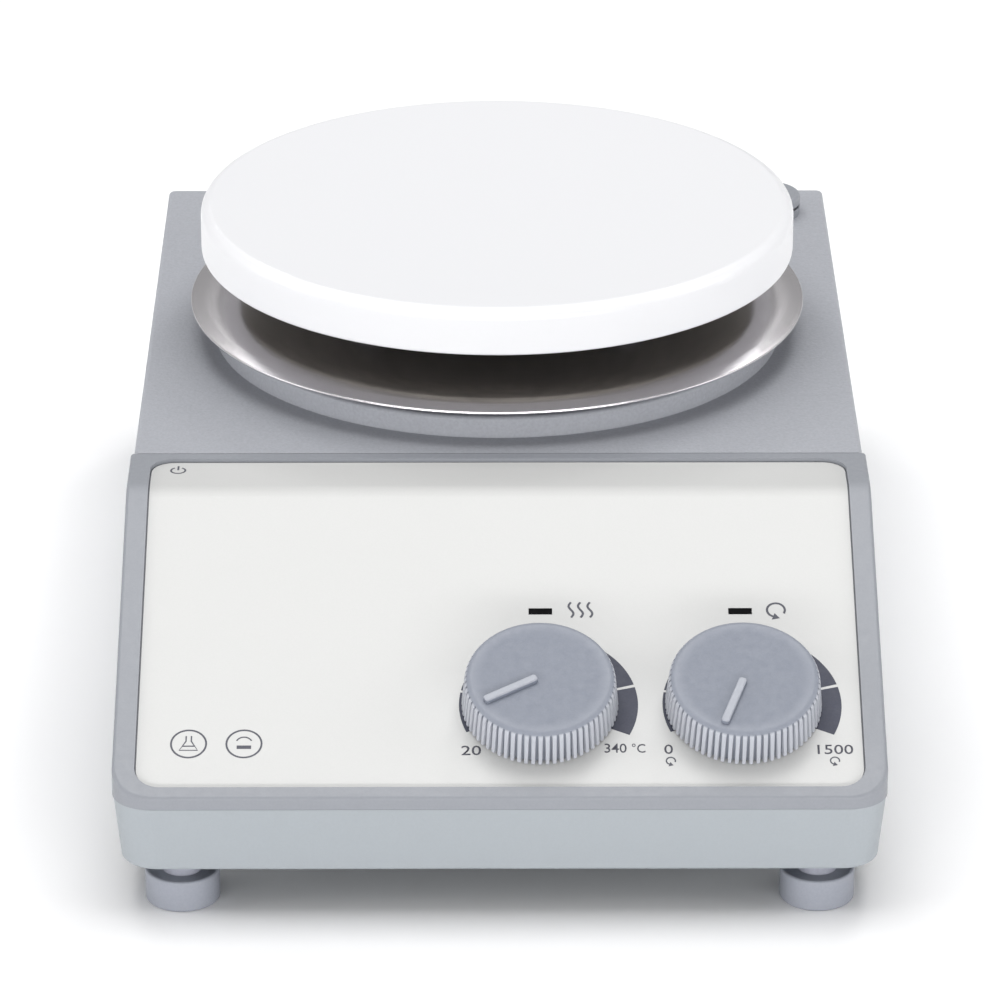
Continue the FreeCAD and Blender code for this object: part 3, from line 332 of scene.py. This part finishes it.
# ------------------------------------------------- panel's own coordinates
joints = {j["name"]: j for j in rec["behaviour"]["joints"]}
HEAT = Vector(joints["heat_turn"]["pos_m"])
STIR = Vector(joints["stir_turn"]["pos_m"])
NRM = Vector(joints["heat_turn"]["axis"]).normalized()
UPS = Vector((0, NRM.z, -NRM.y))
# the two dials turn about points 0.3 mm over the film's face
FACE = HEAT - NRM * 0.0003
MM = 0.001


def on_film(x_mm, up_mm, rise_mm=0.0):
    """x is the row's X; up is measured up the slope from the dials' row."""
    p = FACE + UPS * (up_mm * MM) + NRM * (rise_mm * MM)
    return Vector((x_mm * MM, p.y, p.z))


THICK = 0.03


def thin_piece(name, loops, mat, mapper):
    """Closed flat slabs, one for each outline, laid on the film."""
    bm = bmesh.new()
    for loop in loops:
        low = [bm.verts.new(mapper(x, y, 0.0)) for x, y in loop]
        top = [bm.verts.new(mapper(x, y, THICK)) for x, y in loop]
        n = len(loop)
        bm.faces.new(top)
        bm.faces.new(list(reversed(low)))
        for i in range(n):
            k = (i + 1) % n
            bm.faces.new((low[i], low[k], top[k], top[i]))
    bmesh.ops.recalc_face_normals(bm, faces=bm.faces)
    me = bpy.data.meshes.new(name)
    bm.to_mesh(me)
    bm.free()
    ob = bpy.data.objects.new(name, me)
    scene.collection.objects.link(ob)
    me.materials.append(mat)
    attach(ob, "stirrer_base")
    return ob


def ring(cx, cy, r0, r1, a0, a1, n=None):
    n = n or max(6, int(abs(a1 - a0) / 4))
    pts = []
    for i in range(n + 1):
        a = math.radians(a0 + (a1 - a0) * i / n)
        pts.append((cx + r1 * math.cos(a), cy + r1 * math.sin(a)))
    for i in range(n, -1, -1):
        a = math.radians(a0 + (a1 - a0) * i / n)
        pts.append((cx + r0 * math.cos(a), cy + r0 * math.sin(a)))
    return pts


def stroke(points, width):
    """An outline of even width along an open line."""
    left, right = [], []
    for i, p in enumerate(points):
        a = points[max(0, i - 1)]
        b = points[min(len(points) - 1, i + 1)]
        dx, dy = b[0] - a[0], b[1] - a[1]
        L = math.hypot(dx, dy)
        nx, ny = -dy / L * width / 2, dx / L * width / 2
        left.append((p[0] + nx, p[1] + ny))
        right.append((p[0] - nx, p[1] - ny))
    return left + right[::-1]


def full_ring(cx, cy, r0, r1):
    return [ring(cx, cy, r0, r1, k * 90, (k + 1) * 90, 10) for k in range(4)]


def film_map(x, y, z):
    return on_film(x, y, z)


# dial scales: a crescent that widens to the right, cut by thin white gaps
CUTS = [206.0, 167.7, 129.3, 91.0, 52.7, 14.3, -24.0]
OFFSET, OUTER, INNER = 1.8, 18.7, 16.0


def outer_at(a):
    c, s = math.cos(a), math.sin(a)
    b = OFFSET * c
    return b + math.sqrt(b * b - OFFSET * OFFSET + OUTER * OUTER)


for nm, centre in (("heat", HEAT), ("stir", STIR)):
    cx = centre.x / MM
    loops = []
    for a0, a1 in zip(CUTS[:-1], CUTS[1:]):
        gap0 = 0.0 if a0 == CUTS[0] else 1.05
        gap1 = 0.0 if a1 == CUTS[-1] else 1.05
        lo, hi = math.radians(a1 + gap1), math.radians(a0 - gap0)
        n = 14
        pts = []
        for i in range(n + 1):
            a = lo + (hi - lo) * i / n
            r = outer_at(a)
            pts.append((cx + r * math.cos(a), r * math.sin(a)))
        for i in range(n, -1, -1):
            a = lo + (hi - lo) * i / n
            pts.append((cx + INNER * math.cos(a), INNER * math.sin(a)))
        loops.append(pts)
    thin_piece(nm + "_scale", loops, INK, film_map)


def number(name, text, x0, x1, up_mid, tall, mat=INK_SOFT):
    """Printed digits, fitted to a width and laid on the film."""
    cu = bpy.data.curves.new(name + "_c", "FONT")
    cu.body = text
    cu.size = 1.0
    cu.extrude = 0.0
    cu.offset = 0.004
    cu.resolution_u = 3
    tmp = bpy.data.objects.new(name + "_t", cu)
    scene.collection.objects.link(tmp)
    bpy.context.view_layer.update()
    me = bpy.data.meshes.new_from_object(tmp)
    bpy.data.objects.remove(tmp)
    bm = bmesh.new()
    bm.from_mesh(me)
    bmesh.ops.remove_doubles(bm, verts=bm.verts, dist=1e-5)
    bmesh.ops.dissolve_limit(bm, angle_limit=0.01, verts=bm.verts, edges=bm.edges)
    xs = [v.co.x for v in bm.verts]
    ys = [v.co.y for v in bm.verts]
    kx = (x1 - x0) / (max(xs) - min(xs))
    ky = tall / (max(ys) - min(ys))
    x_, y_ = min(xs), (min(ys) + max(ys)) / 2
    got = bmesh.ops.extrude_face_region(bm, geom=list(bm.faces))
    lifted = set(v for v in got["geom"] if isinstance(v, bmesh.types.BMVert))
    for v in bm.verts:
        z = THICK if v in lifted else 0.0
        v.co = on_film(x0 + (v.co.x - x_) * kx, up_mid + (v.co.y - y_) * ky, z)
    bmesh.ops.recalc_face_normals(bm, faces=bm.faces)
    out = bpy.data.meshes.new(name)
    bm.to_mesh(out)
    bm.free()
    bpy.data.meshes.remove(me)
    ob = bpy.data.objects.new(name, out)
    scene.collection.objects.link(ob)
    out.materials.append(mat)
    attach(ob, "stirrer_base")
    return ob


KD = 60.5
number("heat_low_number", "20", -8.0, -3.9, KD - 72.85, 2.55)
number("heat_high_number", "340", 21.7, 26.3, KD - 72.3, 2.45)
number("heat_high_degree", "°C", 27.4, 30.2, KD - 72.3, 2.45)
number("stir_low_number", "0", 34.1, 35.9, KD - 72.6, 2.5)
number("stir_high_number", "1500", 65.9, 73.3, KD - 72.7, 2.5)

# mark for heat: three wavy lines; mark for stirring: a turning arrow
waves = []
for k in range(3):
    x = 15.2 + k * 2.0
    pts = []
    for i in range(17):
        t = i / 16
        pts.append((x + 0.5 * math.sin(t * 2 * math.pi), KD - 36.6 + 4.2 * t))
    waves.append(stroke(pts, 0.48))
thin_piece("heat_mark", waves, INK_SOFT, film_map)
sx, sy = 58.6, KD - 34.6
arrow = [ring(sx, sy, 1.65, 2.12, -30, 250, 48)]
ax, ay = sx + 1.885 * math.cos(math.radians(250)), sy + 1.885 * math.sin(math.radians(250))
tx, ty = -math.sin(math.radians(250)), math.cos(math.radians(250))
rx, ry = math.cos(math.radians(250)), math.sin(math.radians(250))
arrow.append([(ax + rx * 0.95, ay + ry * 0.95), (ax + tx * 1.5, ay + ty * 1.5),
              (ax - rx * 0.95, ay - ry * 0.95)])
thin_piece("stir_mark", arrow, INK_SOFT, film_map)

# small units under the numbers: a turn mark in place of words
for nm, x in (("stir_low_turns", 35.4), ("stir_high_turns", 69.4)):
    cyy = KD - 75.7
    a = [ring(x, cyy, 0.78, 1.08, -20, 250, 30)]
    ax, ay = x + 0.93 * math.cos(math.radians(250)), cyy + 0.93 * math.sin(math.radians(250))
    a.append([(ax + rx * 0.6, ay + ry * 0.6), (ax + tx * 0.9, ay + ty * 0.9),
              (ax - rx * 0.6, ay - ry * 0.6)])
    thin_piece(nm, a, INK_SOFT, film_map)

# two plain marks at the lower left: a flask and a stirring bar in round frames
marks = []
fx, fy = -64.6, KD - 71.0
marks += full_ring(fx, fy, 3.45, 3.85)
marks.append(stroke([(fx - 0.55, fy + 2.1), (fx - 0.55, fy + 0.7), (fx - 1.9, fy - 1.7),
                     (fx + 1.9, fy - 1.7), (fx + 0.55, fy + 0.7), (fx + 0.55, fy + 2.1)],
                    0.3))
marks.append(stroke([(fx - 1.25, fy - 0.6), (fx + 1.25, fy - 0.6)], 0.3))
thin_piece("flask_mark", marks, INK_SOFT, film_map)
marks = []
fx = -53.1
marks += full_ring(fx, fy, 3.45, 3.85)
marks.append(stroke([(fx - 1.5, fy - 0.9), (fx + 1.5, fy - 0.9)], 0.9))
marks.append(ring(fx, fy + 0.1, 1.55, 1.85, 25, 155, 16))
thin_piece("bar_mark", marks, INK_SOFT, film_map)

# power mark on the flat top of the film
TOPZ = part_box("panel_film")[1][2]


def flat_map(x, y, z):
    return Vector((x * MM, y * MM, TOPZ + z * MM))


pm = [ring(-69.6, -42.5, 1.35, 1.75, 120, 420, 40),
      stroke([(-69.6, -42.3), (-69.6, -40.2)], 0.42)]
thin_piece("power_mark", pm, INK_SOFT, flat_map)

# ------------------------------------------------------------- stage
bm = bmesh.new()
bmesh.ops.create_grid(bm, x_segments=8, y_segments=8, size=6.0)
me = bpy.data.meshes.new("floor")
bm.to_mesh(me)
bm.free()
floor = bpy.data.objects.new("floor", me)
scene.collection.objects.link(floor)
fmat = make_mat("floor_white", (0.93, 0.93, 0.935), 0.6, grain=40, grain_amt=0.002,
                bump=0.0, blotch=2, blotch_amt=0.002, spec=0.2)
me.materials.append(fmat)

world = bpy.data.worlds.new("studio")
scene.world = world
world.use_nodes = True
bg = world.node_tree.nodes["Background"]
bg.inputs[0].default_value = (1.0, 1.0, 1.0, 1)
bg.inputs[1].default_value = 0.353


def area(name, loc, target, sx, sy, power, color=(1, 1, 1)):
    li = bpy.data.lights.new(name, "AREA")
    li.shape = "RECTANGLE"
    li.size, li.size_y = sx, sy
    li.energy = power
    li.color = color
    ob = bpy.data.objects.new(name, li)
    scene.collection.objects.link(ob)
    ob.location = loc
    d = Vector(target) - Vector(loc)
    ob.rotation_euler = d.to_track_quat("-Z", "Y").to_euler()
    return ob


area("top_box", (0.0, 0.10, 1.30), (0, 0.02, 0.06), 1.1, 0.8, 11.2)
area("back_left", (-0.44, 0.80, 1.22), (0, 0.03, 0.07), 0.26, 0.26, 1.8)
area("back_right", (0.44, 0.80, 1.22), (0, 0.03, 0.07), 0.26, 0.26, 2.6)
area("left_box", (-2.4, -0.20, 0.84), (0, 0, 0.06), 1.4, 1.0, 16.8)
area("right_box", (2.4, -0.20, 0.84), (0, 0, 0.06), 1.4, 1.0, 13.6)
area("front_low", (0.0, -1.60, 0.13), (0, 0, 0.05), 3.0, 0.24, 22.0)

scene.view_settings.view_transform = "Standard"

# ------------------------------------------------------------- camera
cam_data = bpy.data.cameras.new("camera")
cam = bpy.data.objects.new("camera", cam_data)
scene.collection.objects.link(cam)
pitch, yaw, roll = (math.radians(a) for a in (23.963, 0.253, 0.033))
F = Vector((math.sin(yaw) * math.cos(pitch), math.cos(yaw) * math.cos(pitch),
            -math.sin(pitch)))
R = F.cross(Vector((0, 0, 1))).normalized()
U = R.cross(F)
R2 = R * math.cos(roll) + U * math.sin(roll)
U2 = -R * math.sin(roll) + U * math.cos(roll)
rot = Matrix((R2, U2, -F)).transposed().to_4x4()
cam.matrix_world = Matrix.Translation((-0.004746, -1.193457, 0.566467)) @ rot
cam_data.sensor_width = 36.0
cam_data.lens = 5781.9 * 36.0 / 1000.0
cam_data.clip_start = 0.05
cam_data.clip_end = 20.0
scene.camera = cam

lo, hi = CAD_BOX
